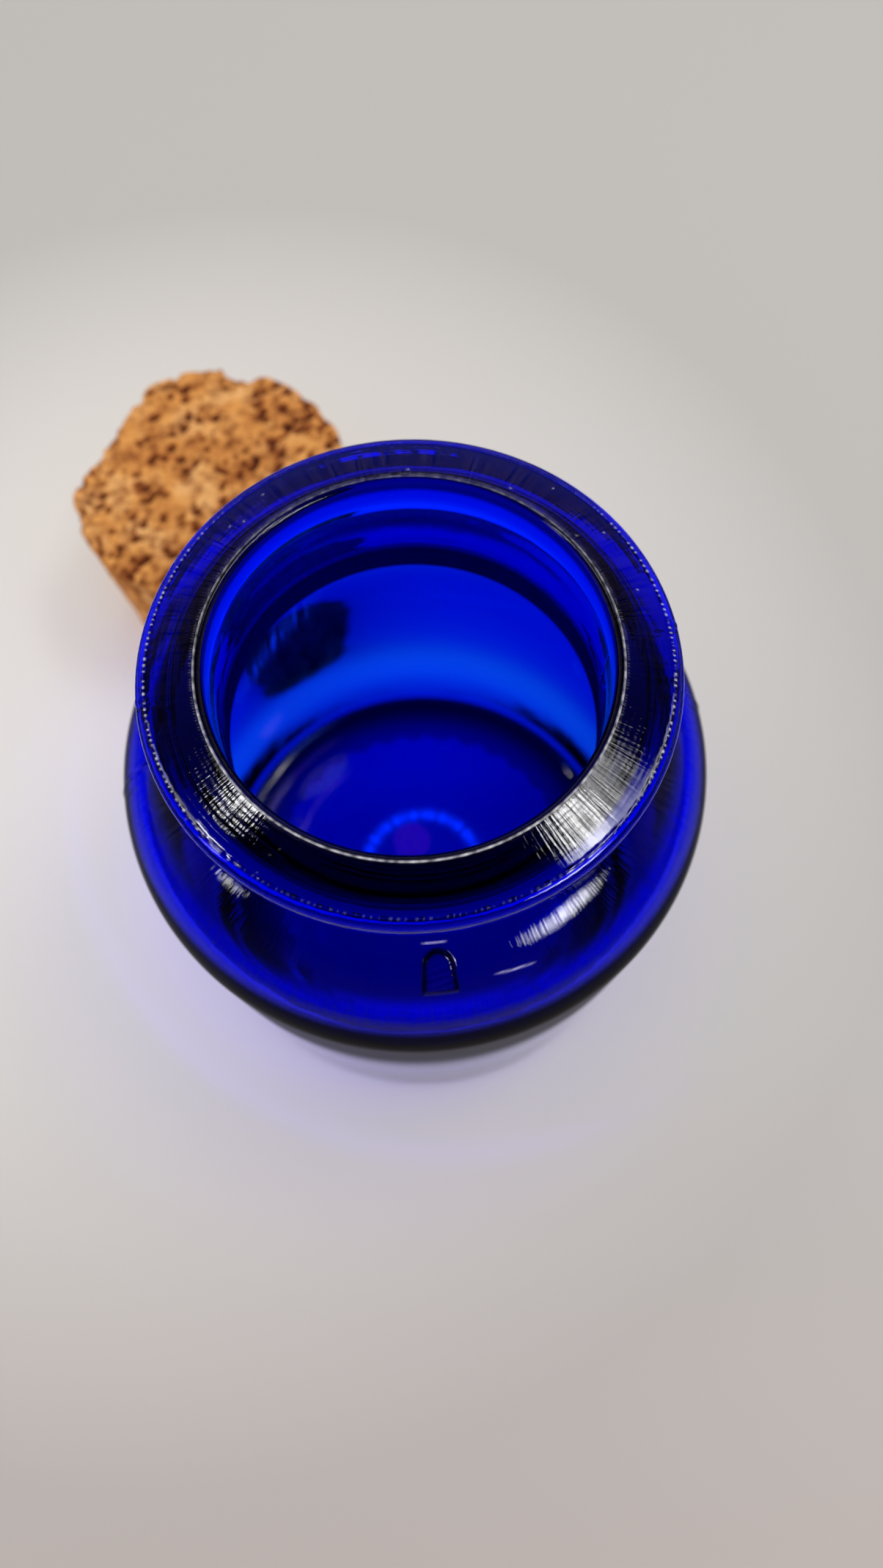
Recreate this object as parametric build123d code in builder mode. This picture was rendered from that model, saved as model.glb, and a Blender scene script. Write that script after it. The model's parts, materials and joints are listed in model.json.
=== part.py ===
from build123d import *

import os
from math import acos, cos, degrees, radians, sin

# Wide-mouth glass jar, and the natural cork stopper that stands on the table behind it.
# Millimetres, +Z up. The origin is the centre of the jar's bearing ring, on the table, and
# +Z runs up the jar's axis, out of its mouth. -Y is the front.

# --- Glass jar: driving dimensions -------------------------------------------------------
jar_height = 104.0
wall = 3.3

belly_radius = 47.4  # widest circle, where the side meets the shoulder
belly_height = 67.2
foot_radius = 44.9  # where the side would meet the table without its heel round
heel_round = 4.0
bearing_width = 4.5  # flat ring that the jar stands on
push_up = 2.2  # hollow under the base, at its centre

shoulder_round = 17.0
neck_radius = 32.2
neck_fillet = 1.8

lip_radius = 37.3
lip_thickness = 3.0
lip_drop = 1.9  # fall of the bevel from the crest of the mouth to the rim
lip_underside_drop = 2.4  # fall of the underside from the rim to the neck
lip_round = 1.3
lip_root_fillet = 1.6

bore_radius = 27.8  # straight land that the stopper seals in
bore_bottom = 82.0
mouth_round = 1.2  # from the land to the crest
bore_edge_round = 0.9
bore_edge_fall = 0.6  # from the inner shoulder's top to the land's lower edge

floor_height = 4.5
floor_crown = 1.2  # rise of the inside floor towards its centre
inner_heel_round = 3.0

# Arch-shaped registration lug on the front of the shoulder
lug_width = 5.5
lug_height = 6.7
lug_rise = 0.6
lug_root = 2.0  # depth that the lug reaches into the shoulder
lug_azimuth = -88.0  # degrees from +X
lug_elevation = 61.5  # degrees up the shoulder round

# --- Cork stopper: driving dimensions ----------------------------------------------------
cork_height = 38.0
cork_wide_radius = 29.3
cork_narrow_radius = 26.0
cork_edge_round = 1.2
cork_place = (-40.4, 81.0)  # centre of its narrow end, on the table

# A flat facet where the bark ran out, and a notch broken out of the wide edge
facet_azimuth = 151.0
facet_distance = 24.6  # from the cork's axis, at the wide end
notch_azimuth = 76.0
notch_radius = 3.1
notch_depth = 2.4
notch_length = 9.0

# --- Worked out --------------------------------------------------------------------------
shoulder_centre = (belly_radius - shoulder_round, belly_height)
shoulder_sweep = degrees(acos((neck_radius - shoulder_centre[0]) / shoulder_round))
inner_belly_radius = belly_radius - wall
inner_foot_radius = foot_radius - wall
inner_shoulder_round = bore_bottom - bore_edge_fall - belly_height
inner_shoulder_centre = (inner_belly_radius - inner_shoulder_round, belly_height)
rim_top = jar_height - lip_drop
rim_bottom = rim_top - lip_thickness
root_height = rim_bottom - lip_underside_drop
crest_radius = bore_radius + mouth_round
bearing_inner = foot_radius - heel_round - bearing_width
above_mouth = jar_height + 5.0  # anywhere clear of the crest


def corner(sketch, r, z):
    """The sketch's vertex nearest to radius r and height z."""
    return sketch.vertices().sort_by_distance((r, z, 0))[0]


def dome(centre_height, edge_radius, edge_height):
    """A shallow arc from the axis out to its edge, level at the axis."""
    return RadiusArc(
        (0, centre_height),
        (edge_radius, edge_height),
        (edge_radius**2 + (centre_height - edge_height) ** 2) / (2 * (centre_height - edge_height)),
    )


# A ring of the shoulder's own curvature, kept only where the arch stands on it.
lug_angle = radians(lug_elevation)
lug_reach = shoulder_centre[0] + shoulder_round * cos(lug_angle)
lug_azimuth_rad = radians(lug_azimuth)
lug_outward = Vector(
    cos(lug_angle) * cos(lug_azimuth_rad),
    cos(lug_angle) * sin(lug_azimuth_rad),
    sin(lug_angle),
)
lug_plane = Plane(
    origin=(
        lug_reach * cos(lug_azimuth_rad),
        lug_reach * sin(lug_azimuth_rad),
        belly_height + shoulder_round * sin(lug_angle),
    ),
    x_dir=(-sin(lug_azimuth_rad), cos(lug_azimuth_rad), 0),
    z_dir=lug_outward,
)

with BuildPart() as lug:
    with BuildSketch(Plane.XZ):
        with Locations(shoulder_centre):
            Circle(shoulder_round + lug_rise)
    revolve(axis=Axis.Z)
    with BuildSketch(lug_plane):
        with Locations((0, -lug_width / 4)):
            Rectangle(lug_width, lug_height - lug_width / 2)
        with Locations((0, lug_height / 2 - lug_width / 2)):
            Circle(lug_width / 2)
    extrude(amount=lug_root, both=True, mode=Mode.INTERSECT)

with BuildPart() as glass_jar:
    with BuildSketch(Plane.XZ) as outside:
        with BuildLine():
            dome(push_up, bearing_inner, 0)
            Polyline((bearing_inner, 0), (foot_radius, 0), (belly_radius, belly_height))
            shoulder = CenterArc(shoulder_centre, shoulder_round, 0, shoulder_sweep)
            Polyline(
                shoulder @ 1,
                (neck_radius, root_height),
                (lip_radius, rim_bottom),
                (lip_radius, rim_top),
                (crest_radius, jar_height),
                (0, jar_height),
                (0, push_up),
            )
        make_face()
        fillet(corner(outside, foot_radius, 0), heel_round)
        fillet(corner(outside, neck_radius, (shoulder @ 1).Y), neck_fillet)
        fillet(corner(outside, neck_radius, root_height), lip_root_fillet)
        fillet(corner(outside, lip_radius, rim_bottom), lip_round)
        fillet(corner(outside, lip_radius, rim_top), lip_round)
    revolve(axis=Axis.Z)
    add(lug.part)

    with BuildSketch(Plane.XZ) as hollow:
        with BuildLine():
            dome(floor_height + floor_crown, inner_foot_radius, floor_height)
            Line((inner_foot_radius, floor_height), (inner_belly_radius, belly_height))
            inner_shoulder = CenterArc(inner_shoulder_centre, inner_shoulder_round, 0, 90)
            Polyline(
                inner_shoulder @ 1,
                (bore_radius, bore_bottom),
                (bore_radius, jar_height - mouth_round),
            )
            mouth = CenterArc((crest_radius, jar_height - mouth_round), mouth_round, 180, -90)
            Polyline(
                mouth @ 1,
                (crest_radius, above_mouth),
                (0, above_mouth),
                (0, floor_height + floor_crown),
            )
        make_face()
        fillet(corner(hollow, inner_foot_radius, floor_height), inner_heel_round)
        fillet(corner(hollow, bore_radius, bore_bottom), bore_edge_round)
    revolve(axis=Axis.Z, mode=Mode.SUBTRACT)

narrow_end = Plane((*cork_place, 0))
wide_end = narrow_end.offset(cork_height)
facet_out = Vector(cos(radians(facet_azimuth)), sin(radians(facet_azimuth)), 0)
facet_lean = (cork_wide_radius - cork_narrow_radius) / cork_height
facet_plane = Plane(
    origin=Vector(*cork_place, cork_height) + facet_out * facet_distance,
    z_dir=facet_out - Vector(0, 0, facet_lean),
)

with BuildPart() as cork_stopper:
    with BuildSketch(narrow_end):
        Circle(cork_narrow_radius)
    with BuildSketch(wide_end):
        Circle(cork_wide_radius)
    loft()
    split(bisect_by=facet_plane, keep=Keep.BOTTOM)
    ends = cork_stopper.faces().sort_by(Axis.Z)
    fillet(ends[0].edges() + ends[-1].edges(), cork_edge_round)
    with BuildSketch(wide_end):
        notch_reach = cork_wide_radius - notch_depth + notch_radius
        with PolarLocations(notch_reach, 1, start_angle=notch_azimuth):
            Circle(notch_radius)
    extrude(amount=-notch_length, mode=Mode.SUBTRACT)

os.makedirs("parts", exist_ok=True)
glass_jar.part.label = "glass_jar"
export_step(glass_jar.part, "parts/glass_jar.step")
cork_stopper.part.label = "cork_stopper"
export_step(cork_stopper.part, "parts/cork_stopper.step")
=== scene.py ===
"""Looks for the cobalt-blue glass jar and its natural cork stopper.

Lengths are millimetres until a mesh, an object or a shader takes them, when MM turns them into metres.
Single azimuths are degrees from +X, and arrays called azimuth are radians.
"""

import json
import math

import bpy
import numpy as np
from mathutils import Matrix, Vector


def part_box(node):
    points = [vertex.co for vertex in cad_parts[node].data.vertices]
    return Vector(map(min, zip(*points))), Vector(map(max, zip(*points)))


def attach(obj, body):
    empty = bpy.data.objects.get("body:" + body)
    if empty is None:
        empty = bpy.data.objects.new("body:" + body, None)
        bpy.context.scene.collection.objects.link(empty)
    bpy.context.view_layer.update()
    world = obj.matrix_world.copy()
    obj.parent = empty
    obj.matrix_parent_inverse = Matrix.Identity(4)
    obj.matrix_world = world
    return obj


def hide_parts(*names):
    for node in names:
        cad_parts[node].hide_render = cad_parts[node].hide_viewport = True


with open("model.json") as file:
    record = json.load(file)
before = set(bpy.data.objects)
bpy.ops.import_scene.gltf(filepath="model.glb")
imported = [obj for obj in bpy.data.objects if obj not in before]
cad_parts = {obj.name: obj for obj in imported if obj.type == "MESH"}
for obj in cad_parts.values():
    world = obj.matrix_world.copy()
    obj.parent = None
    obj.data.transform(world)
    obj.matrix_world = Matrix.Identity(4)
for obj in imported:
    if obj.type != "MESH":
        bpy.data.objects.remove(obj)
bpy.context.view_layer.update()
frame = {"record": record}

MM = 0.001
rng = np.random.default_rng(7)

# --- Sizes from the frame ------------------------------------------------------------------
jar_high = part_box("glass_jar")[1] / MM
cork_low, cork_high = [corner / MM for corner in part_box("cork_stopper")]
mounts = {mount["name"]: mount for mount in frame["record"]["mounts"]}
jar_height = round(jar_high.z, 2)
belly_radius = round(jar_high.x, 2)
bore_radius = mounts["mouth"]["dims"]["r_mm"]
cork_height = cork_high.z - cork_low.z

# --- Jar: the other sizes of its CAD section -------------------------------------------------
wall = 3.3
belly_height = 67.2
foot_radius = 44.9
heel_round = 4.0
bearing_width = 4.5
push_up = 2.2
shoulder_round = 17.0
neck_radius = 32.2
neck_fillet = 1.8
lip_radius = 37.3
lip_thickness = 3.0
lip_drop = 1.9
lip_underside_drop = 2.4
lip_round = 1.3
lip_root_fillet = 1.6
bore_bottom = 82.0
bore_edge_round = 0.9
bore_edge_fall = 0.6
mouth_round = 1.2
floor_height = 4.5
floor_crown = 1.2
inner_heel_round = 3.0
shoulder_axis = belly_radius - shoulder_round  # radius of the circle that the shoulder's round turns about
segments = 900  # round the jar's axis

# --- Moulded detail of the jar ---------------------------------------------------------------
seam_azimuths = (5.2, 185.2)
seam_height = 0.14
seam_width = 0.35
parting_radius = 35.9  # the fine ridge just inside the lip's outer edge
parting_height = 0.09
parting_width = 0.22
lug_width = 5.5
lug_height = 6.7
lug_rise = 0.5
lug_azimuth = -88.0
lug_elevation = 61.5  # up the shoulder's round
lug_slope = 0.8  # width of its sloping border
lug_taper = 0.22  # share of its width that it loses upwards
knurl_count = 176
knurl_depth = 0.28
knurl_rows = ((33.2, 0.7), (36.7, 0.9), (39.6, 0.6))  # radius and half width
scallop_count = 34
scallop_radius = 28.5
scallop_wave = 0.55
scallop_depth = 0.3
bead_count = 30
bead_ring_radius = 12.6
bead_radius = 0.75
bead_height = 0.32
lip_ring_depth = 0.0025
plunger_rings = ((100.6, 0.10), (98.2, -0.07), (95.4, 0.08), (90.6, 0.06), (86.0, -0.06))  # height, depth
plunger_ring_width = 0.55
wave_depth = 0.016
belly_thickening = 1.5
turn_thinning = 0.6
heel_thinning = 1.1

# --- Marks on the glass: wear, and painted highlights, glints and shade ----------------------
lip_top_depth = 3.0  # the lip's wear and painted highlight reach no lower than this below the crest
crest_highlight_radius = 28.95  # radius of the worn line on the crest of the mouth, painted brighter as a highlight
crest_width = 0.11
tick_offset = 0.45  # from the worn, painted highlight line to the fine ticks outside it
tick_width = 0.14
# width of the worn parting line's painted sheen
parting_wear_sheen_width = 0.14
speck_count = 18
speck_size = 0.12
speck_radii = (29.6, 36.6)
# Painted highlight streaks on the shoulder: radius at the middle, rise of the radius per degree, azimuths of
# the ends, softness
highlight_streak_lines = ((40.375, 0.05, -76, -69, 1.5), (34.6, 0.0, -91, -86, 1.0))
# width of the painted highlight streaks on the shoulder
highlight_streak_width = 0.10
lug_line = 0.42  # half width of the painted shade line round the lug
# inner edge of the painted shade under the foot, scalloped
dark_foot_radius = 32.3
# The painted bright arc just inside the belly
belly_arc_radius = 43.6
belly_arc_width = 1.3
# Painted glints beside the image of the cork on the inside wall
cork_glint_height = 49.0
cork_glint_reach = 2.4
cork_glint_fall = 0.45  # per degree
cork_glint_azimuths = (114, 144)
# Where the painted glints of the knurl, the painted glow of the beads and the painted violet reflection lie
heel_row_radius = 40.3
outer_row_radius = 36.6
inner_row_radius = 28.0
low_wall_height = 19.0
bead_image_radius = 12.4
spot_centre = (-2.0, 6.5)
spot_radii = (3.6, 4.6)


# --- Profiles of relief and colour -----------------------------------------------------------
def smooth_step(value, low, high):
    """0 at low, 1 at high, with a smooth rise between them."""
    share = np.clip((value - low) / (high - low), 0.0, 1.0)
    return share * share * (3 - 2 * share)


def band(value, centre, width):
    """1 at the centre, fading to 0 on both sides."""
    return np.exp(-(((value - centre) / width) ** 2))


def around(azimuth, centre):
    """Angle in radians from a centre in degrees, between -pi and pi."""
    return (azimuth - math.radians(centre) + math.pi) % (2 * math.pi) - math.pi


def window(azimuth, low, high, soft=6.0):
    """1 between two azimuths in degrees, fading to 0 outside them."""
    middle = (low + high) / 2
    half = (high - low) / 2
    away = np.degrees(np.abs(around(azimuth, middle)))
    return 1 - smooth_step(away, half - soft, half + soft)


def zone(names, *wanted):
    """A column with 1 for the points of the section that lie in a wanted stretch, and 0 for the others."""
    return np.isin(names, wanted)[:, None] * 1.0


def by_zone(names, values, rest=0.0):
    """A column with the value of each point's stretch."""
    return np.array([values.get(name, rest) for name in names])[:, None]


# --- Section of the jar ----------------------------------------------------------------------
def unit(vector):
    return vector / np.linalg.norm(vector)


def arc(centre, radius, start, end, count):
    """Points of an arc from start to end, in degrees."""
    angle = np.radians(np.linspace(start, end, count))
    return np.c_[centre[0] + radius * np.cos(angle), centre[1] + radius * np.sin(angle)]


def straight(start, end, count):
    return np.linspace(start, end, count)


def crowned(start, end, count):
    """A shallow parabolic dome between the axis and its edge, in either direction."""
    radius = np.linspace(start[0], end[0], count)
    share = radius / max(start[0], end[0])
    middle, edge = (start[1], end[1]) if end[0] > start[0] else (end[1], start[1])
    return np.c_[radius, edge + (middle - edge) * (1 - share**2)]


def corner(before, at, after, radius, count):
    """The round that replaces the corner at `at`."""
    before, at, after = (np.array(point, float) for point in (before, at, after))
    u, v = unit(before - at), unit(after - at)
    half = math.acos(float(u @ v)) / 2
    centre = at + unit(u + v) * radius / math.sin(half)
    first = at + u * radius / math.tan(half) - centre
    last = at + v * radius / math.tan(half) - centre
    start = math.atan2(first[1], first[0])
    turn = math.atan2(last[1], last[0]) - start
    turn = (turn + math.pi) % (2 * math.pi) - math.pi
    return arc(centre, radius, math.degrees(start), math.degrees(start + turn), count)


def jar_outline():
    """The section from the axis under the base, up the outside and down the inside to the axis again.

    Each stretch is (name, points). Stretches join end to end.
    """
    bearing_inner = foot_radius - heel_round - bearing_width
    foot = (foot_radius, 0.0)
    belly = (belly_radius, belly_height)
    rim_top = jar_height - lip_drop
    rim_bottom = rim_top - lip_thickness
    high_edge = (lip_radius, rim_top)
    low_edge = (lip_radius, rim_bottom)
    root = (neck_radius, rim_bottom - lip_underside_drop)
    crest = (bore_radius + mouth_round, jar_height)

    # The concave round between the shoulder and the straight neck
    lean = math.acos((neck_radius + neck_fillet - shoulder_axis) / (shoulder_round + neck_fillet))
    throat = (
        neck_radius + neck_fillet,
        belly_height + (shoulder_round + neck_fillet) * math.sin(lean),
    )
    lean = math.degrees(lean)

    inner_foot = (foot_radius - wall, floor_height)
    inner_belly = (belly_radius - wall, belly_height)
    inner_round = bore_bottom - bore_edge_fall - belly_height
    inner_top = (inner_belly[0] - inner_round, belly_height + inner_round)
    bore_corner = (bore_radius, bore_bottom)
    bore_top = (bore_radius, jar_height - mouth_round)

    heel = corner((0, 0), foot, belly, heel_round, 16)
    root_fillet = corner((neck_radius, 0), root, low_edge, lip_root_fillet, 10)
    low_rim = corner(root, low_edge, high_edge, lip_round, 12)
    high_rim = corner(low_edge, high_edge, crest, lip_round, 12)
    bore_edge = corner(bore_top, bore_corner, inner_top, bore_edge_round, 10)
    inner_heel = corner(inner_belly, inner_foot, (0, floor_height), inner_heel_round, 14)
    return [
        ("base", crowned((0.0, push_up), (bearing_inner, 0.0), 110)),
        ("bearing", straight((bearing_inner, 0.0), heel[0], 16)),
        ("heel", heel),
        ("side", straight(heel[-1], belly, 40)),
        ("shoulder", arc((shoulder_axis, belly_height), shoulder_round, 0, lean, 96)),
        ("neck", arc(throat, neck_fillet, 180 + lean, 180, 14)),
        ("neck", straight((neck_radius, throat[1]), root_fillet[0], 10)),
        ("neck", root_fillet),
        ("rim", straight(root_fillet[-1], low_rim[0], 10)),
        ("rim", low_rim),
        ("rim", high_rim),
        ("bevel", straight(high_rim[-1], crest, 46)),
        ("mouth", arc((crest[0], bore_top[1]), mouth_round, 90, 180, 14)),
        ("land", straight(bore_top, bore_edge[0], 24)),
        ("land", bore_edge),
        ("inside", straight(bore_edge[-1], inner_top, 6)),
        ("inside", arc((inner_top[0], belly_height), inner_round, 90, 0, 40)),
        ("inside", straight(inner_belly, inner_heel[0], 30)),
        ("inside", inner_heel),
        ("floor", crowned(inner_heel[-1], (0.0, floor_height + floor_crown), 120)),
    ]


def jar_section():
    """The section's points without its two ends on the axis, their stretches' names and outward normals."""
    points, names = [], []
    for name, stretch in jar_outline():
        fresh = stretch if not points else stretch[1:]
        points.extend(fresh)
        names.extend([name] * len(fresh))
    points, names = np.array(points)[1:-1], np.array(names)[1:-1]
    tangent = np.gradient(points, axis=0)
    tangent /= np.linalg.norm(tangent, axis=1)[:, None]
    return points, names, np.c_[tangent[:, 1], -tangent[:, 0]]


# --- Relief of the jar -----------------------------------------------------------------------
def seam_relief(radius, azimuth, names):
    """Two upright mould seams on the outside, fainter on the neck and the lip."""
    strength = by_zone(names, {"heel": 1.0, "side": 1.0, "shoulder": 1.0, "neck": 0.7, "rim": 0.7})
    return strength * seam_height * sum(
        band(radius * around(azimuth, seam), 0.0, seam_width) for seam in seam_azimuths
    )


def parting_relief(radius, azimuth, names):
    """The fine, broken ridge just inside the outer edge of the lip."""
    broken = 0.65 + 0.35 * np.sin(41 * azimuth) * np.sin(97 * azimuth + 1.3)
    return zone(names, "bevel", "rim") * parting_height * broken * band(radius, parting_radius, parting_width)


def lug_distance(radius, height, azimuth):
    """Distance outside the lug's border, square below and round above; negative within it."""
    elevation = np.arctan2(height - belly_height, radius - shoulder_axis)
    up = (elevation - math.radians(lug_elevation)) * shoulder_round
    across = radius * around(azimuth, lug_azimuth)
    half = lug_width / 2 * (1 - lug_taper * np.clip(up / lug_height + 0.5, 0.0, 1.0))
    arch_centre = lug_height / 2 - half
    outside_arch = np.hypot(across, np.maximum(up - arch_centre, 0.0)) - half
    return np.maximum(outside_arch, -lug_height / 2 - up)


def lug_relief(radius, height, azimuth, names):
    """The lug raised from the shoulder, with the ripples of its cutter."""
    raised = 1 - smooth_step(lug_distance(radius, height, azimuth), -lug_slope, lug_slope * 0.2)
    ripple = 1 + 0.10 * np.sin(height * 4.2 + 2.0 * np.sin(radius * azimuth))
    return zone(names, "shoulder", "neck") * lug_rise * ripple * raised


def knurl_tooth(azimuth):
    """1 on the crest of each tooth of the knurl and 0 between them."""
    return 0.5 + 0.5 * np.cos(knurl_count * azimuth)


def base_relief(radius, azimuth, names):
    """Pressed into the underside: knurled bearing ring, scalloped ring and ring of beads."""
    knurl = knurl_tooth(azimuth) * sum(band(radius, row, width) for row, width in knurl_rows)
    scallop = scallop_radius + scallop_wave * np.cos(scallop_count * azimuth)
    sunk = 1 - smooth_step(radius, scallop - 0.5, scallop + 0.5)
    pitch = 2 * math.pi / bead_count
    along = ((azimuth / pitch) % 1.0 - 0.5) * pitch * bead_ring_radius
    bead = np.exp(-1.5 * (np.hypot(radius - bead_ring_radius, along) / bead_radius) ** 2)
    relief = bead * bead_height - knurl * knurl_depth - sunk * scallop_depth
    return zone(names, "base", "bearing") * relief


def glass_waves(height, azimuth, names):
    """The slow unevenness of moulded glass, a few hundredths of a millimetre deep."""
    relief = 0.0
    for order in range(2, 15):
        phase = rng.uniform(0, 2 * math.pi)
        twist = rng.uniform(-0.12, 0.12)
        pull = rng.uniform(0.5, 1)
        relief = relief + pull / order * np.sin(order * azimuth + twist * height + phase)
    calm = 1 - 0.8 * zone(names, "bearing", "land", "mouth")
    return calm * wave_depth * relief


def wall_relief(height, names):
    """The blown inside: thick below the belly, thin at the turn of the shoulder and above the heel."""
    thick = smooth_step(height, 22.0, 50.0) * (1 - smooth_step(height, 52.0, 64.0))
    turn = smooth_step(height, 56.0, 66.0) * (1 - smooth_step(height, 74.0, 81.0))
    low = smooth_step(height, 3.0, 16.0) * (1 - smooth_step(height, 18.0, 36.0))
    relief = belly_thickening * thick - turn_thinning * turn - heel_thinning * low
    return zone(names, "inside") * relief


def lip_rings(radius, names):
    """Fine rings that the finishing tool left round the lip."""
    return zone(names, "bevel") * lip_ring_depth * np.sin(radius * 7.3 + np.sin(radius * 2.9))


def land_rings(height, names):
    """Shallow rings left by the plunger in the mouth's straight land."""
    on_land = zone(names, "land", "inside") * (height > bore_bottom - 1.0)
    return on_land * sum(depth * band(height, ring, plunger_ring_width) for ring, depth in plunger_rings)


def jar_relief(radius, height, azimuth, names):
    """How far the skin stands out from the plain section."""
    return (
        seam_relief(radius, azimuth, names)
        + parting_relief(radius, azimuth, names)
        + lug_relief(radius, height, azimuth, names)
        + base_relief(radius, azimuth, names)
        + wall_relief(height, names)
        + lip_rings(radius, names)
        + land_rings(height, names)
        + glass_waves(height, azimuth, names) * smooth_step(radius, 0.0, 12.0)
    )


# --- Surface of the glass: wear, and painted light and shade ---------------------------------
def lip_wear_and_highlight(radius, height, azimuth, names):
    """Where the glass has lost its polish, painted brighter as a highlight: the crest of the mouth, brighter
    in front, the parting line, brighter at the sides, and specks of dust.

    Products of sines with unrelated counts break the lines unevenly.
    """
    on_lip = zone(names, "mouth", "bevel", "rim") * (height > jar_height - lip_top_depth)
    front = 0.5 - 0.5 * np.sin(azimuth)

    broken = 0.6 + 0.4 * np.sin(37 * azimuth + 2 * np.sin(11 * azimuth)) * np.sin(83 * azimuth)
    # Painted highlight on the worn crest line, brighter in front, with fine ticks at the back
    crest = (0.2 + 0.5 * front) * broken * band(radius, crest_highlight_radius, crest_width)
    ticks = smooth_step(np.sin(430 * azimuth + 3 * np.sin(23 * azimuth)), 0.0, 0.8) * (1 - front)
    crest = crest + 0.16 * ticks * band(radius, crest_highlight_radius + tick_offset, tick_width)

    # Painted sheen on the worn parting line, brighter at the sides
    dashes = np.sin(260 * azimuth + 3 * np.sin(9 * azimuth)) * np.sin(31 * azimuth)
    beside = smooth_step(np.abs(np.cos(azimuth)), 0.62, 0.95)
    parting = (0.06 + 0.45 * beside) * smooth_step(dashes, 0.0, 0.6)
    parting = parting * band(radius, parting_radius, parting_wear_sheen_width)

    dust = 0.0
    for _ in range(speck_count):
        speck_azimuth = rng.uniform(-180, 180)
        speck_radius = rng.uniform(*speck_radii)
        along = radius * around(azimuth, speck_azimuth)
        dust = dust + band(np.hypot(radius - speck_radius, along), 0.0, speck_size)
    return on_lip * np.clip(crest + parting + 0.5 * (1 - front) * dust, 0, 1)


def shoulder_highlight_streaks(radius, azimuth, names):
    """Short painted highlight streaks on the shoulder, beside the lug and above it."""
    share = 0.0
    for middle_radius, rise, low, high, soft in highlight_streak_lines:
        turned = np.degrees(around(azimuth, (low + high) / 2))
        line = band(radius, middle_radius + rise * turned, highlight_streak_width)
        share = share + line * window(azimuth, low, high, soft)
    return zone(names, "shoulder", "neck") * share


def painted_belly_glow(radius, azimuth, names):
    """A painted glow: the bright blue arc just inside the belly, wider at the sides."""
    sideways = smooth_step(np.abs(np.cos(azimuth)), 0.55, 0.95)
    arc_line = band(radius, belly_arc_radius - 1.0 * sideways, belly_arc_width + 0.7 * sideways)
    return zone(names, "shoulder") * (0.46 + 0.06 * sideways) * arc_line


def cork_image_glints(height, azimuth, names):
    """Painted glints: short upright bright streaks beside the image of the cork on the back of the inside
    wall.
    """
    comb = smooth_step(np.sin(190 * azimuth + 3 * np.sin(41 * azimuth) + 0.5 * height), 0.1, 0.8)
    turned = np.degrees(around(azimuth, sum(cork_glint_azimuths) / 2))
    sloping = band(height, cork_glint_height - cork_glint_fall * turned, cork_glint_reach)
    return zone(names, "inside") * comb * sloping * window(azimuth, *cork_glint_azimuths)


def marks(radius, height, azimuth, names):
    """Colour and share of what shows on the glass surface itself, as RGBA.

    Wear and dust lie there on the real jar, and the lip's wear is painted brighter as a highlight. The other
    layers
    are painted light: painted highlight streaks on the shoulder, a painted glow along the belly, painted
    glints and a painted reflection that stand for what the glass shows of the base's relief, of the cork and
    of the room, and painted shade at the lower end of the land.
    """
    floor = zone(names, "floor")
    inside = zone(names, "inside")

    # Painted glints of the knurl at the left: on the inside heel, in two rows on the floor, and low on the
    # wall
    left = window(azimuth, 118, 156)
    teeth = knurl_tooth(azimuth) ** 2
    low = floor + inside * (height < floor_height + 4.5)
    heel = low * teeth * band(radius, heel_row_radius, 0.55) * left
    outer_row = floor * teeth * band(radius, outer_row_radius, 0.5) * left
    inner_row = floor * teeth * band(radius, inner_row_radius, 0.45) * window(azimuth, 124, 160)
    fine_teeth = knurl_tooth(azimuth) ** 3
    low_wall = inside * fine_teeth * band(height, low_wall_height, 3.5) * window(azimuth, 124, 148)

    # A painted azure glow on the far side of the ring of beads, and a painted violet reflection within it
    beads = 0.6 + 0.4 * np.cos(bead_count * azimuth) * np.cos(7 * azimuth + 1)
    bead_ring = floor * beads * band(radius, bead_image_radius, 1.05) * window(azimuth, 15, 165, 12)
    x, y = radius * np.cos(azimuth), radius * np.sin(azimuth)
    from_spot = np.hypot(x - spot_centre[0], y - spot_centre[1])
    spot = floor * (1 - smooth_step(from_spot, *spot_radii))

    # Painted navy shade at the lower end of the mouth's land
    low_land = zone(names, "land") * (1 - smooth_step(height, 85.0, 94.0))
    # Colours above 1 make the painted light glow against the dark glass
    layers = (
        ((1.35, 1.35, 1.45), lip_wear_and_highlight(radius, height, azimuth, names)),
        ((0.75, 0.70, 1.10), 0.7 * shoulder_highlight_streaks(radius, azimuth, names)),
        ((0.0, 0.0, 1.0), painted_belly_glow(radius, azimuth, names)),
        ((0.0, 0.0, 0.22), 0.5 * low_land),
        ((0.05, 0.42, 2.6), 0.75 * cork_image_glints(height, azimuth, names)),
        ((0.10, 0.35, 1.30), 0.35 * low_wall),
        ((0.36, 0.32, 0.36), 0.8 * heel),
        ((0.55, 0.16, 0.95), 0.85 * outer_row),
        ((0.75, 0.25, 1.20), 0.95 * inner_row),
        ((0.0, 0.36, 3.2), 0.9 * bead_ring),
        ((0.34, 0.02, 0.85), 0.5 * spot),
    )
    total = sum(share for _, share in layers)
    blend = []
    for channel in range(3):
        mixed = sum(colour[channel] * share for colour, share in layers)
        blend.append(mixed / np.maximum(total, 1e-6))
    return np.stack([*blend, np.clip(total, 0, 1)], axis=-1)


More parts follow.
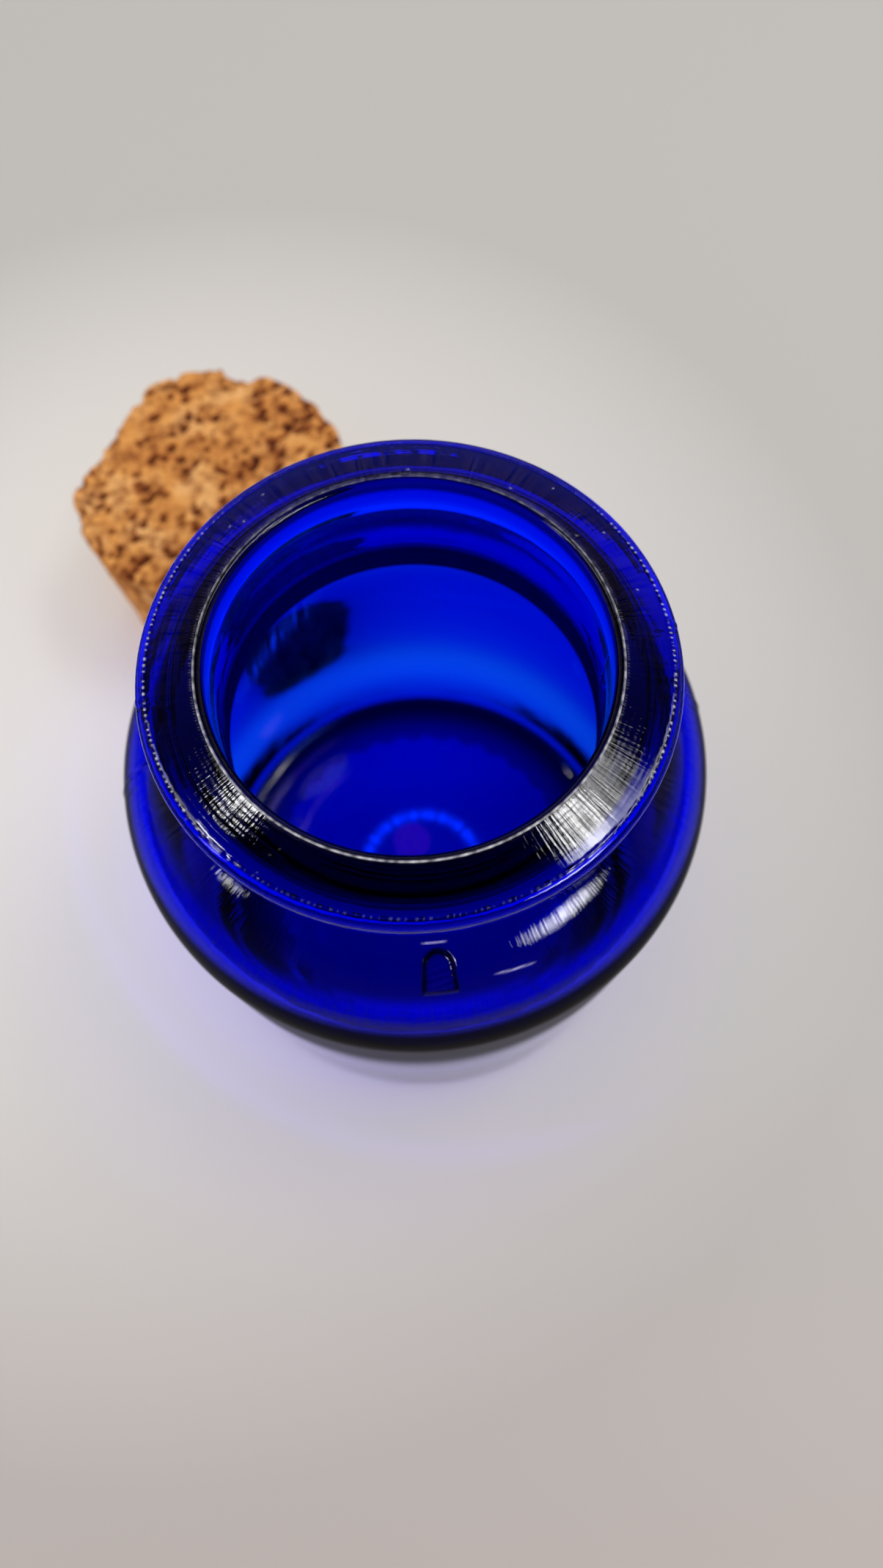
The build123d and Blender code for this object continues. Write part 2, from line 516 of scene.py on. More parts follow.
def shade(radius, height, azimuth, names):
    """Painted shade: the dark line round the steep border of the lug, under the thick foot, at the crest of
    the mouth.
    """
    lug_border = band(lug_distance(radius, height, azimuth), -lug_line, lug_line)
    lug_border = zone(names, "shoulder", "neck") * 0.9 * lug_border
    scallop = dark_foot_radius + 0.5 * np.cos(scallop_count * azimuth)
    foot = 0.42 * smooth_step(radius, scallop - 0.3, scallop + 0.5) + 0.52 * smooth_step(radius, 33.0, 40.5)
    foot = zone(names, "base", "bearing", "heel") * (height < 1.5) * foot
    return np.maximum(lug_border, np.maximum(foot, 0.5 * zone(names, "mouth")))


def camera_gain(radius, height, azimuth, names):
    """Painted light and shade: how much brighter the camera sees the light that comes through, zone by zone,
    to match the photo's exposure.
    """
    bevel = zone(names, "bevel")
    back = radius * np.sin(azimuth)
    behind = smooth_step(back, -12.0, 30.0)
    outer = {"shoulder": 0.8, "rim": 4.2, "bevel": 1.15, "mouth": 1.5}
    inner = {"land": 3.0, "inside": 1.58, "floor": 1.08}
    gain = by_zone(names, outer | inner, rest=1.0)
    gain = gain + 1.9 * zone(names, "shoulder") * smooth_step(radius, 41.0, 44.0)
    gain = gain + 1.7 * zone(names, "side") * smooth_step(height, 40.0, belly_height)
    gain = gain + 2.8 * bevel * behind
    gain = gain - 0.65 * bevel * (1 - smooth_step(radius, 33.2, 34.6)) * (1 - behind)
    return gain + 0.85 * zone(names, "floor") * smooth_step(back, 8.0, 34.0)


def glass_values(radius, height, azimuth, names):
    """What the glass material reads at each point, by name."""
    shoulder = zone(names, "shoulder")
    high_side = zone(names, "side") * smooth_step(height, 38.0, 56.0)

    # Streaks and grain left by the cold mould: inboard on the bevel and on the shoulder
    inner_bevel = np.clip((36.0 - radius) / 3.0, 0.2, 1.0)
    inner_shoulder = 1 - smooth_step(radius, 38.5, 42.0)
    chill = zone(names, "bevel") * inner_bevel + shoulder * inner_shoulder
    chill = chill + by_zone(names, {"mouth": 0.6, "rim": 0.15})
    return {
        "chill": chill,
        "haze": 0.11 * zone(names, "inside") * (1 - smooth_step(height, 58.0, 68.0)),
        # body and wall_top say where the refraction takes painted shade, at a glance and from above
        "body": shoulder + high_side + 0.6 * zone(names, "neck"),
        "wall_top": shoulder * smooth_step(radius, 45.0, 46.3) + high_side,
        "gain": camera_gain(radius, height, azimuth, names),
        "shade": shade(radius, height, azimuth, names),
    }


# --- Jar -------------------------------------------------------------------------------------
def make_mesh_object(name, vertices, faces):
    mesh = bpy.data.meshes.new(name)
    mesh.from_pydata(vertices, [], faces)
    mesh.update()
    mesh.shade_smooth()
    made = bpy.data.objects.new(name, mesh)
    bpy.context.scene.collection.objects.link(made)
    return made


def add_point_values(piece, name, values, kind="FLOAT", field="value"):
    attribute = piece.data.attributes.new(name, kind, "POINT")
    attribute.data.foreach_set(field, np.ascontiguousarray(values, np.float32).ravel())


def closed_skin_faces(rings):
    """Quads between rings of points, and a fan to a pole after the first and the last ring."""
    here = np.arange(segments)
    there = (here + 1) % segments
    start = (np.arange(rings - 1) * segments)[:, None]
    corners = [start + here, start + there, start + segments + there, start + segments + here]
    quads = np.stack(corners, axis=-1).reshape(-1, 4)
    last = (rings - 1) * segments
    first_pole = rings * segments
    first_fan = np.c_[there, here, np.full(segments, first_pole)]
    last_fan = np.c_[last + here, last + there, np.full(segments, first_pole + 1)]
    return quads.tolist() + first_fan.tolist() + last_fan.tolist()


def make_jar():
    """The jar as one closed skin: the section turned round the axis, with its moulded relief."""
    points, names, normal = jar_section()
    azimuth = np.linspace(0, 2 * math.pi, segments, endpoint=False)[None, :]
    radius, height = points[:, :1], points[:, 1:]
    relief = jar_relief(radius, height, azimuth, names)
    ring_r = radius + normal[:, :1] * relief
    ring_z = height + normal[:, 1:] * relief
    skin = np.stack([ring_r * np.cos(azimuth), ring_r * np.sin(azimuth), ring_z], axis=-1)
    under_pole = [0.0, 0.0, float(ring_z[0].mean())]
    floor_pole = [0.0, 0.0, float(ring_z[-1].mean())]
    vertices = np.vstack([skin.reshape(-1, 3), under_pole, floor_pole]) * MM
    jar = make_mesh_object("jar_glass", vertices.tolist(), closed_skin_faces(len(points)))

    for name, values in glass_values(radius, height, azimuth, names).items():
        everywhere = np.broadcast_to(values, ring_r.shape).ravel()
        add_point_values(jar, name, np.append(everywhere, [0.0, 0.0]))
    colours = marks(radius, height, azimuth, names).reshape(-1, 4)
    add_point_values(jar, "marks", np.vstack([colours, np.zeros((2, 4))]), "FLOAT_COLOR", "color")
    return jar


# --- Cork ------------------------------------------------------------------------------------
cork_wide_radius = 29.3
cork_narrow_radius = 26.0
cork_flare = cork_wide_radius - cork_narrow_radius
cork_centre = (-40.4, 81.0)
cork_edge_round = 1.2
cork_grid = 0.45  # voxels of its even skin
cork_swell = 0.40  # the skin stands this proud, so that the pits don't shrink the outline
outline_steps = 360
facet_azimuth = 151.0
facet_distance = 24.6  # from its axis, at the wide end
notch_azimuth = 76.0
pit_count = 2600
pit_depth = 1.15
hash_factors = (73856093, 19349663, 83492791)  # large primes, one for each axis

# The pits that stand out on its top: x and y from its axis, half width, stretch, and lie in degrees
big_pits = (
    (-12.0, -4.0, 0.75, 5.0, 42.0),
    (13.5, 8.5, 1.7, 1.3, 20.0),
    (16.0, 17.5, 1.5, 1.2, 60.0),
    (17.0, 12.0, 1.7, 1.3, 110.0),
    (11.5, 17.0, 1.3, 1.2, 0.0),
    (2.5, 1.5, 1.0, 2.6, -32.0),
    (10.0, 3.5, 1.2, 1.6, 100.0),
    (6.5, 0.0, 1.1, 1.5, 90.0),
    (-6.5, 5.0, 1.2, 1.5, 0.0),
    (-15.5, 10.0, 0.9, 1.4, 150.0),
    (-15.5, -22.0, 1.2, 1.3, 90.0),
    (-13.0, -19.5, 1.3, 1.2, 60.0),
    (-7.5, -19.0, 1.3, 1.4, 30.0),
)

# The bites out of its edges: azimuth, height, size and depth. The first two make the notch.
bites = (
    (notch_azimuth - 2.5, 38.0, 3.3, 3.0),
    (notch_azimuth + 3.0, 38.0, 3.1, 3.0),
    (126.0, 38.0, 2.0, 0.9),
    (152.0, 38.0, 3.0, 0.5),
    (165.0, 36.5, 2.6, 0.6),
    (196.0, 37.0, 2.8, 0.9),
    (214.0, 38.0, 2.0, 0.8),
    (32.0, 38.0, 2.4, 0.8),
    (318.0, 38.0, 2.6, 0.9),
    (262.0, 2.0, 3.2, 1.0),
    (350.0, 1.0, 2.6, 0.9),
)


def cork_radius(azimuth, share):
    """The cork's outline at a share of its height: a cone with a bark facet."""
    round_radius = cork_narrow_radius + cork_flare * share
    facet = facet_distance - cork_flare * (1 - share)
    away = np.cos(around(azimuth, facet_azimuth))
    flat = np.where(away > 0.3, facet / np.maximum(away, 0.3), 1e3)
    return np.minimum(round_radius, flat)


def make_cork_blank():
    """The plain cork, before its grain: a lathe skin, then an even voxel skin."""
    azimuth = np.linspace(0, 2 * math.pi, outline_steps, endpoint=False)
    inset = cork_edge_round * 0.5

    # Each ring: share of the height, share of the radius, and millimetres pulled in
    rings = [(0.0, 0.02, 0.0), (0.0, 1.0, inset), (inset / cork_height, 1.0, 0.0)]
    rings += [(share, 1.0, 0.0) for share in np.linspace(0.1, 0.9, 9)]
    rings += [(1 - inset / cork_height, 1.0, 0.0), (1.0, 1.0, inset), (1.0, 0.02, 0.0)]
    vertices = []
    for share, reach, pulled in rings:
        radius = cork_radius(azimuth, share) * reach - pulled
        x = cork_centre[0] + radius * np.cos(azimuth)
        y = cork_centre[1] + radius * np.sin(azimuth)
        vertices.extend(np.c_[x, y, np.full(outline_steps, share * cork_height)].tolist())
    here = np.arange(outline_steps)
    there = (here + 1) % outline_steps
    faces = []
    for low in range(0, (len(rings) - 1) * outline_steps, outline_steps):
        high = low + outline_steps
        faces += np.c_[low + here, low + there, high + there, high + here].tolist()
    top = (len(rings) - 1) * outline_steps
    faces.append(here[::-1].tolist())
    faces.append((top + here).tolist())
    blank = make_mesh_object("cork_blank", (np.array(vertices) * MM).tolist(), faces)
    remesh = blank.modifiers.new("even_skin", "REMESH")
    remesh.mode = "VOXEL"
    remesh.voxel_size = cork_grid * MM
    remesh.use_smooth_shade = True
    evaluated = blank.evaluated_get(bpy.context.evaluated_depsgraph_get())
    even = bpy.data.meshes.new_from_object(evaluated)
    bpy.data.objects.remove(blank)
    return even


def value_noise(points, size, seed):
    """Smooth noise between -1 and 1 with cells of about size millimetres."""
    cells = points / size
    base = np.floor(cells).astype(np.int64)
    blend = cells - base
    blend = blend * blend * (3 - 2 * blend)
    total = 0.0

    # An integer hash gives each corner of the cell its value
    for sides in np.ndindex(2, 2, 2):
        key = ((base + sides) * hash_factors).sum(1) + seed * 2654435
        key = (key ^ (key >> 13)) * 1274126177 & 0x7FFFFFFF
        value = (key ^ (key >> 16)) % 65536 / 32767.5 - 1
        weight = np.where(sides, blend, 1 - blend).prod(axis=1)
        total = total + value * weight
    return total


def pit_field(points, centres, sizes, stretch, lean):
    """How deep each point lies in the deepest pit there: 1 at a pit's heart, 0 outside them all."""
    depth = np.zeros(len(points))
    for centre, size, pull, turn in zip(centres, sizes, stretch, lean):
        near = np.flatnonzero((np.abs(points - centre) < size * pull * 1.3).all(1))
        if len(near) == 0:
            continue
        away = points[near] - centre
        along = away @ turn
        across = np.sqrt(np.maximum((away**2).sum(1) - along**2, 0.0))
        distance = np.hypot(along / pull, across) / size
        distance = distance * (1 + 0.25 * value_noise(points[near], 0.9, 5))
        depth[near] = np.maximum(depth[near], 1 - smooth_step(distance, 0.25, 1.0))
    return depth


def level_direction(angle):
    return np.c_[np.cos(angle), np.sin(angle), np.zeros(len(angle))]


def scatter_pits(points, normals):
    """Places, sizes, stretches and directions of the pits: random ones, then the big ones.

    The random ones crowd towards the edges and the right side. Those on the side lie round the cork.
    """
    local = points - (*cork_centre, cork_height / 2)
    reach = np.hypot(local[:, 0], local[:, 1]) / cork_wide_radius
    crowd = 0.25 + 0.5 * reach**2 + 0.45 * smooth_step(local[:, 0], -8.0, 16.0)
    crowd = crowd * (0.35 + 0.65 * smooth_step(value_noise(points, 7.0, 3), -0.35, 0.4))
    crowd[points[:, 2] < 0.3] *= 0.5
    chosen = rng.choice(len(points), size=pit_count, replace=False, p=crowd / crowd.sum())
    sizes = 0.30 + 1.10 * rng.random(pit_count) ** 3.2
    stretch = rng.uniform(1.0, 2.3, pit_count)
    lean = level_direction(rng.normal(0.8, 0.35, pit_count))
    lean_round = np.c_[-normals[chosen, 1], normals[chosen, 0], np.zeros(pit_count)]
    lean_round += rng.normal(0, 0.15, (pit_count, 3))
    on_side = np.abs(normals[chosen, 2]) < 0.5
    lean[on_side] = lean_round[on_side]
    lean /= np.linalg.norm(lean, axis=1)[:, None]

    x, y, big_size, big_stretch, lie = np.array(big_pits).T
    big_centres = np.c_[cork_centre[0] + x, cork_centre[1] + y, np.full(len(x), cork_height)]
    return (
        np.vstack([points[chosen], big_centres]),
        np.append(sizes, big_size),
        np.append(stretch, big_stretch),
        np.vstack([lean, level_direction(np.radians(lie))]),
    )


def chip_field(points):
    """Depth in millimetres of the bites out of the cork's edges."""
    depth = np.zeros(len(points))
    wobble = 1 + 0.22 * value_noise(points, 1.7, 11)
    for azimuth, height, size, bite in bites:
        angle = np.radians([azimuth])
        heart = level_direction(angle) * cork_radius(angle, height / cork_height)
        distance = np.linalg.norm(points - heart - (*cork_centre, height), axis=1) / size
        depth = np.maximum(depth, bite * (1 - smooth_step(distance * wobble, 0.72, 1.0)))
    return depth


def make_cork():
    """The cork with its pits, chips and crumbled edges as real relief."""
    mesh = make_cork_blank()
    count = len(mesh.vertices)
    points = np.empty(count * 3)
    normals = np.empty(count * 3)
    mesh.vertices.foreach_get("co", points)
    mesh.vertices.foreach_get("normal", normals)
    points, normals = points.reshape(-1, 3) / MM, normals.reshape(-1, 3)

    pits = pit_field(points, *scatter_pits(points, normals))
    pores = smooth_step(value_noise(points, 1.25, 21) + 0.4 * value_noise(points, 0.7, 22), 0.55, 1.1)
    uneven = 0.28 * value_noise(points, 4.2, 1) + 0.16 * value_noise(points, 1.6, 2)
    uneven = uneven + 0.08 * value_noise(points, 0.8, 4)
    depth = pits * pit_depth + pores * 0.3 - uneven * 0.8 - cork_swell
    outward = (points - (*cork_centre, 0.0)) * (1, 1, 0)
    outward /= np.maximum(np.linalg.norm(outward, axis=1), 1e-6)[:, None]
    moved = points - normals * depth[:, None] - outward * chip_field(points)[:, None]
    moved[:, 2] = np.maximum(moved[:, 2], 0.02)
    mesh.vertices.foreach_set("co", (moved * MM).ravel())
    mesh.update()
    mesh.shade_smooth()
    mesh.name = "cork_natural"
    cork = bpy.data.objects.new("cork_natural", mesh)
    bpy.context.scene.collection.objects.link(cork)
    add_point_values(cork, "pit", np.clip(pits + 0.55 * pores, 0, 1))
    return cork


# --- Materials -------------------------------------------------------------------------------
black = (0, 0, 0)
white = (1, 1, 1)
glass_ior = 1.52
clear_share = (1.0, 0.75, 1.0)  # what the camera sees of the light through the glass, before its gain
absorbed_colour = (0.0, 0.65, 0.968, 1)
absorption = 2500.0  # per metre of glass, for a colour channel of 0
streaks_per_radian = 80.0
streaks_per_metre = 130.0  # outwards from the axis, so that a streak is long that way
glass_bump = 0.04  # for a full step of its height


def grey(level):
    return (level, level, level)


class Nodes:
    """A short way to write a node tree: add nodes, then link outputs to inputs by name or number.

    The owner is a material, a world or a light. Methods other than add return the node's output or outputs.
    """

    def __init__(self, owner):
        self.tree = owner.node_tree
        self.tree.nodes.clear()

    def add(self, kind, inputs=None, **settings):
        node = self.tree.nodes.new(kind)
        for key, value in settings.items():
            setattr(node, key, value)
        for key, value in (inputs or {}).items():
            if isinstance(value, bpy.types.NodeSocket):
                self.tree.links.new(value, node.inputs[key])
            else:
                node.inputs[key].default_value = value
        return node

    def math(self, operation, first, second=0.0, third=0.0):
        return self.add("ShaderNodeMath", {0: first, 1: second, 2: third}, operation=operation).outputs[0]

    def times(self, first, second):
        return self.math("MULTIPLY", first, second)

    def vector(self, operation, first, second, output=0):
        node = self.add("ShaderNodeVectorMath", {0: first, 1: second}, operation=operation)
        return node.outputs[output]

    def split(self, vector):
        """The outputs "X", "Y" and "Z" of a vector."""
        return self.add("ShaderNodeSeparateXYZ", {0: vector}).outputs

    def place(self):
        """The place on the object, in metres, which at rest is the place in the frame too."""
        return self.add("ShaderNodeTexCoord").outputs["Object"]

    def distance(self, place, spot):
        """Metres from a spot given as x and y in millimetres."""
        return self.vector("DISTANCE", place, (spot[0] * MM, spot[1] * MM, 0), "Value")

    def value(self, name):
        """A number stored at the points of the mesh."""
        return self.add("ShaderNodeAttribute", attribute_name=name).outputs["Fac"]

    def ray(self, fact):
        """A fact about the ray, such as whether it comes from the camera."""
        return self.add("ShaderNodeLightPath").outputs[fact]

    def noise(self, place, scale, detail, roughness=0.5):
        inputs = {"Vector": place, "Scale": scale, "Detail": detail, "Roughness": roughness}
        return self.add("ShaderNodeTexNoise", inputs).outputs["Fac"]

    def bump(self, height, strength, distance):
        inputs = {"Height": height, "Strength": strength, "Distance": distance * MM}
        return self.add("ShaderNodeBump", inputs).outputs["Normal"]

    def mix(self, share, first, second, blend="MIX"):
        inputs = {"Factor": share, 6: first, 7: second}
        return self.add("ShaderNodeMix", inputs, data_type="RGBA", blend_type=blend).outputs[2]

    def mix_shader(self, share, first, second):
        return self.add("ShaderNodeMixShader", {0: share, 1: first, 2: second}).outputs[0]

    def ramp(self, value, *stops):
        """Colour of a value between stops, each of them a value and its colour."""
        node = self.add("ShaderNodeValToRGB", {"Fac": value})
        elements = node.color_ramp.elements
        while len(elements) < len(stops):
            elements.new(0.5)
        for element, (position, colour) in zip(elements, stops):
            element.position = position
            element.color = (*colour, 1.0)
        return node.outputs["Color"]


def new_material(name):
    material = bpy.data.materials.new(name)
    material.use_nodes = True
    return material, Nodes(material)


def glass_material():
    """Cobalt glass that takes its colour from the depth of glass, with radial chill marks on the lip and
    painted light and shade.
    """
    material, n = new_material("cobalt_glass")
    place = n.place()
    chill = n.value("chill")
    x, y, _ = n.split(place)
    flat = n.add("ShaderNodeCombineXYZ", {"X": x, "Y": y}).outputs[0]
    reach = n.add("ShaderNodeVectorMath", {0: flat}, operation="LENGTH").outputs["Value"]
    turn = n.math("ARCTAN2", y, x)
    streak_place = {"X": n.times(turn, streaks_per_radian), "Y": n.times(reach, streaks_per_metre)}
    streaks = n.noise(n.add("ShaderNodeCombineXYZ", streak_place).outputs[0], 1.0, 1.0)
    swell = n.noise(place, 90.0, 2.0)
    height = n.math("ADD", n.times(streaks, n.times(chill, 0.5)), n.times(swell, 3.0))
    normal = n.bump(height, 1.0, glass_bump)

    # Only the mirror image shows the finest grain
    grain = n.noise(place, 1700.0, 1.0)
    grainy = n.bump(n.math("MULTIPLY_ADD", grain, n.times(chill, 0.2), height), 1.0, glass_bump)

    # Painted shade: along the wall, at a glance or from above, the refraction is darkened towards black, for
    # the long path through the glass
    geometry = n.add("ShaderNodeNewGeometry").outputs
    within = geometry["Backfacing"]
    facing = n.add("ShaderNodeLayerWeight", {"Blend": 0.5}).outputs["Facing"]
    glancing = n.times(n.ramp(facing, (0.60, black), (0.78, white)), n.value("body"))
    steepness = n.split(geometry["Incoming"])["Z"]
    from_above = n.times(n.ramp(steepness, (0.70, black), (0.88, white)), n.value("wall_top"))
    dark = n.times(n.math("MAXIMUM", glancing, from_above), n.math("SUBTRACT", 1.0, within))
    dark = n.math("MAXIMUM", dark, n.value("shade"))

    # Refraction, darkened by the painted shade and brightened for the camera where the photo is, as painted
    # light
    gain_inputs = {0: clear_share, "Scale": n.value("gain")}
    gain = n.add("ShaderNodeVectorMath", gain_inputs, operation="SCALE").outputs[0]
    clear = n.mix(n.ray("Is Camera Ray"), (1, 1, 1, 1), gain)
    through_inputs = {
        "Color": n.mix(dark, clear, (0.02, 0.015, 0.06, 1)),
        "Roughness": n.value("haze"),
        "IOR": glass_ior,
        "Normal": normal,
    }
    through = n.add("ShaderNodeBsdfRefraction", through_inputs).outputs[0]

    # Reflection, combed by the chill marks, and fainter from within and under the painted shade
    comb = n.ramp(streaks, (0.30, grey(0.25)), (0.62, grey(1.4)))
    mirror_colour = n.mix(chill, (1, 1, 1, 1), comb)
    mirror_colour = n.mix(n.times(dark, 0.8), mirror_colour, (0.03, 0.03, 0.04, 1))
    mirror_colour = n.mix(within, mirror_colour, (0.52, 0.52, 0.54, 1))
    mirror_inputs = {"Color": mirror_colour, "Roughness": 0.03, "Normal": grainy}
    mirror = n.add("ShaderNodeBsdfAnisotropic", mirror_inputs).outputs[0]

    # Fresnel's share, a little lower at middling angles than the real one
    edge = n.add("ShaderNodeFresnel", {"IOR": glass_ior, "Normal": normal}).outputs[0]
    levels = ((0.0, 0.0), (0.04, 0.036), (0.12, 0.05), (0.3, 0.16), (0.5, 0.5), (1.0, 1.0))
    edge = n.ramp(edge, *((share, grey(level)) for share, level in levels))
    glass = n.mix_shader(edge, through, mirror)

    # The marks' wear, painted highlights, painted glints and painted shade, as a matt colour laid over the
    # glass
    mark = n.add("ShaderNodeAttribute", attribute_name="marks").outputs
    covered = n.times(mark["Alpha"], n.math("ADD", n.times(streaks, 0.9), 0.45))
    dull = n.add("ShaderNodeBsdfDiffuse", {"Color": mark["Color"]}).outputs[0]
    tint = n.add("ShaderNodeVolumeAbsorption", {"Color": absorbed_colour, "Density": absorption}).outputs[0]
    n.add("ShaderNodeOutputMaterial", {"Surface": n.mix_shader(covered, glass, dull), "Volume": tint})
    return material


def cork_material():
    """Tan-orange cork with dark pits, paler rubbed patches and a fine open grain."""
    material, n = new_material("natural_cork")
    place = n.place()
    patches = n.noise(place, 110.0, 5.0, 0.6)
    mottle = n.noise(place, 330.0, 4.0, 0.65)
    grain = n.noise(place, 900.0, 3.0, 0.7)
    body = n.ramp(
        patches,
        (0.30, (0.56, 0.20, 0.042)),
        (0.48, (0.80, 0.35, 0.085)),
        (0.70, (0.93, 0.52, 0.20)),
    )
    body = n.mix(0.9, body, n.ramp(mottle, (0.36, (0.40, 0.25, 0.17)), (0.54, white)), "MULTIPLY")
    body = n.mix(0.6, body, n.ramp(grain, (0.32, (0.60, 0.48, 0.40)), (0.52, white)), "MULTIPLY")
    hollow = n.ramp(
        n.value("pit"),
        (0.0, white),
        (0.28, (0.68, 0.48, 0.35)),
        (0.6, (0.36, 0.20, 0.13)),
        (1.0, (0.13, 0.055, 0.035)),
    )
    surface_inputs = {
        "Base Color": n.mix(1.0, body, hollow, "MULTIPLY"),
        "Roughness": 0.86,
        "Normal": n.bump(grain, 0.6, 0.3),
        "Specular IOR Level": 0.2,
    }
    surface = n.add("ShaderNodeBsdfPrincipled", surface_inputs).outputs[0]
    n.add("ShaderNodeOutputMaterial", {"Surface": surface})
    return material


def floor_material():
    """A pale table with painted light: brighter round the jar, darker in front, and the soft blue light that
    the glass throws on it painted as a glow.
    """
    material, n = new_material("pale_floor")
    place = n.place()
    level = n.vector("MULTIPLY", place, (1, 1, 0))
    # Painted light and shade: brighter round the jar, darker and pinker towards the front
    tone = n.ramp(
        n.times(n.distance(level, (-45, 45)), 6.25),
        (0.15, (0.93, 0.905, 0.875)),
        (0.5, (0.79, 0.765, 0.735)),
        (1.0, (0.545, 0.525, 0.50)),
    )
    front = n.ramp(n.times(n.split(place)["Y"], -5.0), (0.2, white), (0.7, (0.93, 0.85, 0.85)))
    tone = n.mix(1.0, tone, front, "MULTIPLY")

    # Painted shade: what the glass mirrors of the far table is dark, as in a small room
    far = n.ramp(n.distance(level, (0, 0)), (0.22, black), (0.50, white))
    tone = n.mix(n.times(n.ray("Is Reflection Ray"), far), tone, (0.10, 0.10, 0.10, 1))

    # A painted pool of blue light under the jar, and the painted thin ring of light round it, glowing from
    # the table
    from_pool = n.times(n.distance(level, (-12, 6)), 10.0)
    pool = n.ramp(from_pool, (0.48, white), (0.60, grey(0.35)), (0.9, black))
    from_ring = n.math("ABSOLUTE", n.math("SUBTRACT", n.distance(level, (9, 29)), 88 * MM))
    ring = n.ramp(n.times(from_ring, 250.0), (0.1, grey(0.30)), (1.0, black))
    ring_side = n.ramp(n.times(n.distance(level, (-45, -45)), 10.0), (0.6, white), (1.0, black))
    glow = n.math("ADD", pool, n.times(ring, ring_side))
    surface_inputs = {
        "Base Color": tone,
        "Roughness": 0.6,
        "Emission Color": (0.14, 0.06, 1.0, 1),
        "Emission Strength": n.times(glow, 0.20),
    }
    surface = n.add("ShaderNodeBsdfPrincipled", surface_inputs).outputs[0]
    n.add("ShaderNodeOutputMaterial", {"Surface": surface})
    return material


def paint(piece, material):
    piece.data.materials.clear()
    piece.data.materials.append(material)


# --- Stage, light and camera -----------------------------------------------------------------
floor_half = 3.0  # metres
floor_drop = 0.05  # below the jar's bearing ring, so that the two faces don't coincide
panel_distance = 0.9  # metres, from the mouth of the jar

# The camera, fitted to the photo's ellipses: place and film in millimetres, angles in degrees
camera_front = 69.7
camera_above_crest = 131.0
camera_pitch = 68.74
camera_pan = 3.46
camera_roll = -0.43
film_width = 36.0
focal_length = 25.24
aperture = 10.0

# Name, azimuth from +Y towards +X, elevation, width and height in metres, radiance, lights matt surfaces
panels = (
    ("light_right", 97, 64, 0.17, 0.17, 21.0, False),
    ("light_right_soft", 76, 61, 0.64, 0.26, 6.0, True),
    ("light_right_low", 128, 47, 0.46, 0.32, 19.0, False),
    ("light_left", -80, 62, 0.12, 0.16, 30.0, False),
    ("light_left_soft", -58, 61, 0.42, 0.24, 4.0, False),
    ("light_left_low", -103, 45, 0.10, 0.26, 10.0, False),
)


def make_floor():
    z = -floor_drop * MM
    corners = [
        (-floor_half, -floor_half, z),
        (floor_half, -floor_half, z),
        (floor_half, floor_half, z),
        (-floor_half, floor_half, z),
    ]
    stage_floor = make_mesh_object("floor", corners, [[0, 1, 2, 3]])
    paint(stage_floor, floor_material())


def make_world():
    """A soft pale room. What the glass shows of it is darker overhead, where the camera is, and in front."""
    world = bpy.data.worlds.new("studio")
    world.use_nodes = True
    bpy.context.scene.world = world
    n = Nodes(world)
    direction = n.split(n.add("ShaderNodeTexCoord").outputs["Generated"])
    by_height = n.ramp(
        direction["Z"],
        (0.0, (0.56, 0.55, 0.54)),
        (0.25, (0.42, 0.41, 0.42)),
        (0.5, (0.27, 0.21, 0.31)),
        (0.7, (0.05, 0.045, 0.055)),
        (0.85, grey(0.004)),
    )
    backward = n.math("MULTIPLY_ADD", direction["Y"], 0.5, 0.5)
    by_side = n.ramp(backward, (0.35, (0.10, 0.10, 0.11)), (0.65, white))
    in_glass = n.mix(1.0, by_height, by_side, "MULTIPLY")
    lights_matt = n.math("GREATER_THAN", n.ray("Diffuse Depth"), 0.5)
    colour = n.mix(lights_matt, in_glass, (0.95, 0.94, 0.93, 1))
    colour = n.mix(n.ray("Is Camera Ray"), colour, (0.62, 0.61, 0.60, 1))
    background = n.add("ShaderNodeBackground", {"Color": colour, "Strength": 1.0}).outputs[0]
    n.add("ShaderNodeOutputWorld", {"Surface": background})


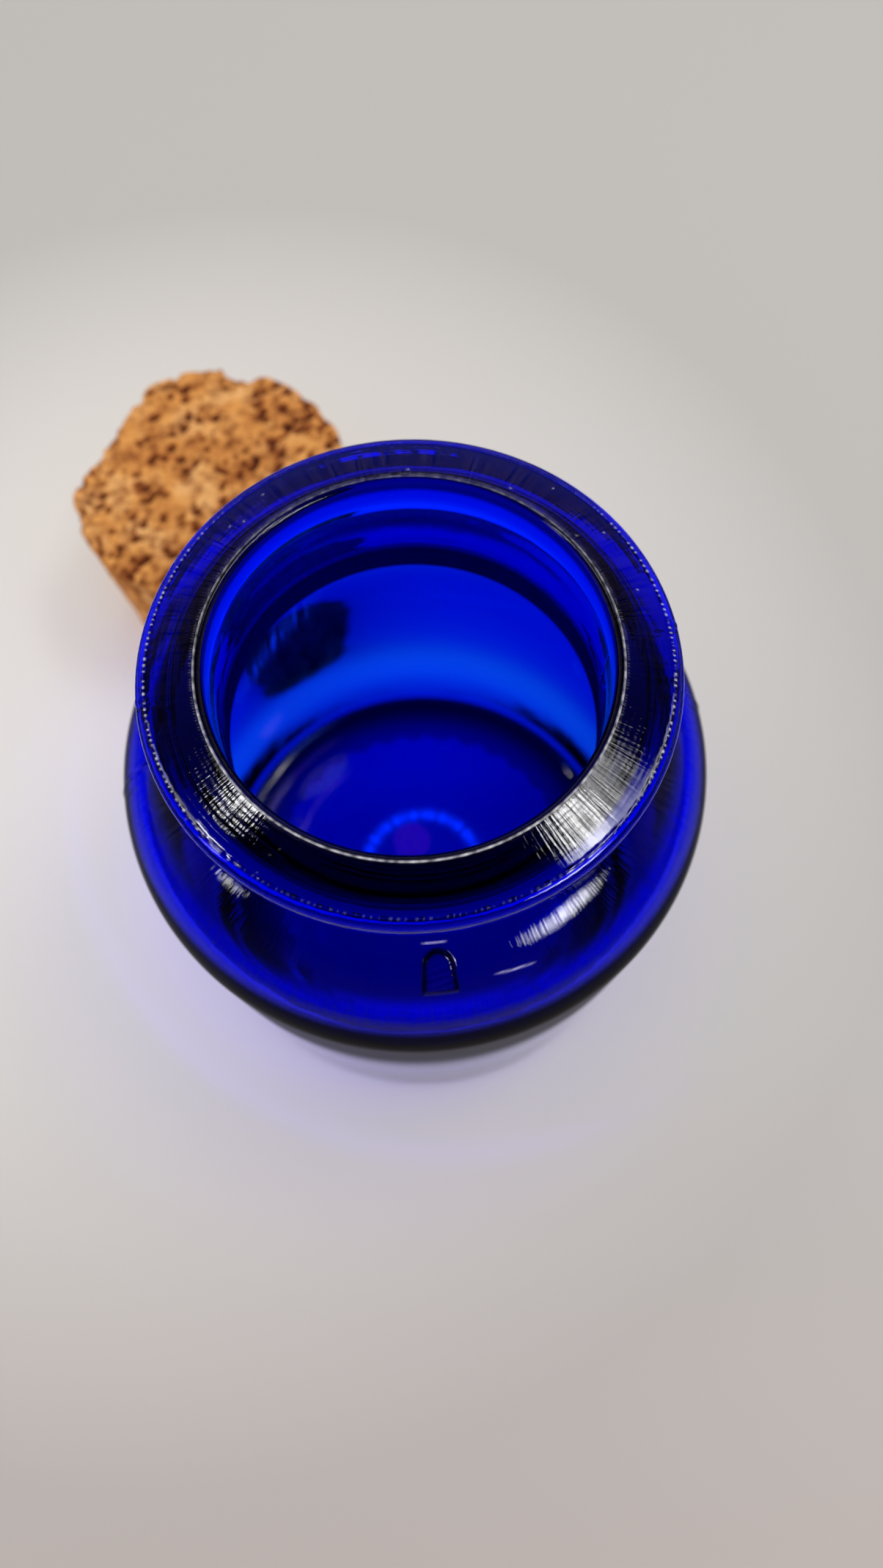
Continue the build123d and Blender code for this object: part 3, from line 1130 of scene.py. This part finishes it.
def make_panel(name, azimuth, elevation, width, height, radiance, lights_matt):
    """A rectangular light that faces the jar's mouth and fades towards its edges."""
    a, e = math.radians(azimuth), math.radians(elevation)
    away = Vector((math.sin(a) * math.cos(e), math.cos(a) * math.cos(e), math.sin(e)))
    light = bpy.data.lights.new(name, "AREA")
    light.shape = "RECTANGLE"
    light.size = width
    light.size_y = height
    light.energy = radiance * math.pi * width * height
    panel = bpy.data.objects.new(name, light)
    panel.location = Vector((0, 0, jar_height * MM)) + away * panel_distance
    panel.rotation_mode = "QUATERNION"
    panel.rotation_quaternion = away.to_track_quat("Z", "Y")
    panel.visible_diffuse = lights_matt
    bpy.context.scene.collection.objects.link(panel)

    light.use_nodes = True
    n = Nodes(light)
    place = n.add("ShaderNodeNewGeometry").outputs["Position"]
    place = n.vector("SUBTRACT", place, panel.location)
    squares = []
    for axis, size in (((1, 0, 0), width), ((0, 1, 0), height)):
        half_widths = panel.rotation_quaternion @ Vector(axis) * 2 / size
        share = n.vector("DOT_PRODUCT", place, half_widths, "Value")
        squares.append(n.math("POWER", n.math("ABSOLUTE", share), 2.0))
    from_centre = n.math("SQRT", n.math("ADD", *squares))
    soft = n.ramp(from_centre, (0.25, white), (0.95, black))
    lamp = n.add("ShaderNodeEmission", {"Color": soft, "Strength": 1.0}).outputs[0]
    n.add("ShaderNodeOutputLight", {"Surface": lamp})


def make_camera():
    """The camera is held above the front of the jar and looks steeply down into it."""
    pitch, pan, roll = (math.radians(angle) for angle in (camera_pitch, camera_pan, camera_roll))
    forward = Vector((math.sin(pan) * math.cos(pitch), math.cos(pan) * math.cos(pitch), -math.sin(pitch)))
    level = forward.cross(Vector((0, 0, 1))).normalized()
    upright = level.cross(forward)
    right = level * math.cos(roll) + upright * math.sin(roll)
    up = upright * math.cos(roll) - level * math.sin(roll)
    turn = Matrix((right, up, -forward)).transposed().to_4x4()
    place = Vector((0, -camera_front, jar_height + camera_above_crest)) * MM

    focus = bpy.data.objects.new("focus", None)
    focus.location = Vector((0, -10, jar_height - 2)) * MM
    lens = bpy.data.cameras.new("camera")
    lens.sensor_width = film_width
    lens.lens = focal_length
    lens.clip_start = 0.01
    lens.dof.use_dof = True
    lens.dof.focus_object = focus
    lens.dof.aperture_fstop = aperture
    camera = bpy.data.objects.new("camera", lens)
    camera.matrix_world = Matrix.Translation(place) @ turn
    for thing in (camera, focus):
        bpy.context.scene.collection.objects.link(thing)
    bpy.context.scene.camera = camera


# --- Build -----------------------------------------------------------------------------------
jar = make_jar()
paint(jar, glass_material())
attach(jar, "jar")
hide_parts("glass_jar")

cork = make_cork()
paint(cork, cork_material())
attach(cork, "stopper")
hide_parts("cork_stopper")

make_floor()
make_world()
for panel in panels:
    make_panel(*panel)
make_camera()
bpy.context.scene.view_settings.view_transform = "Standard"
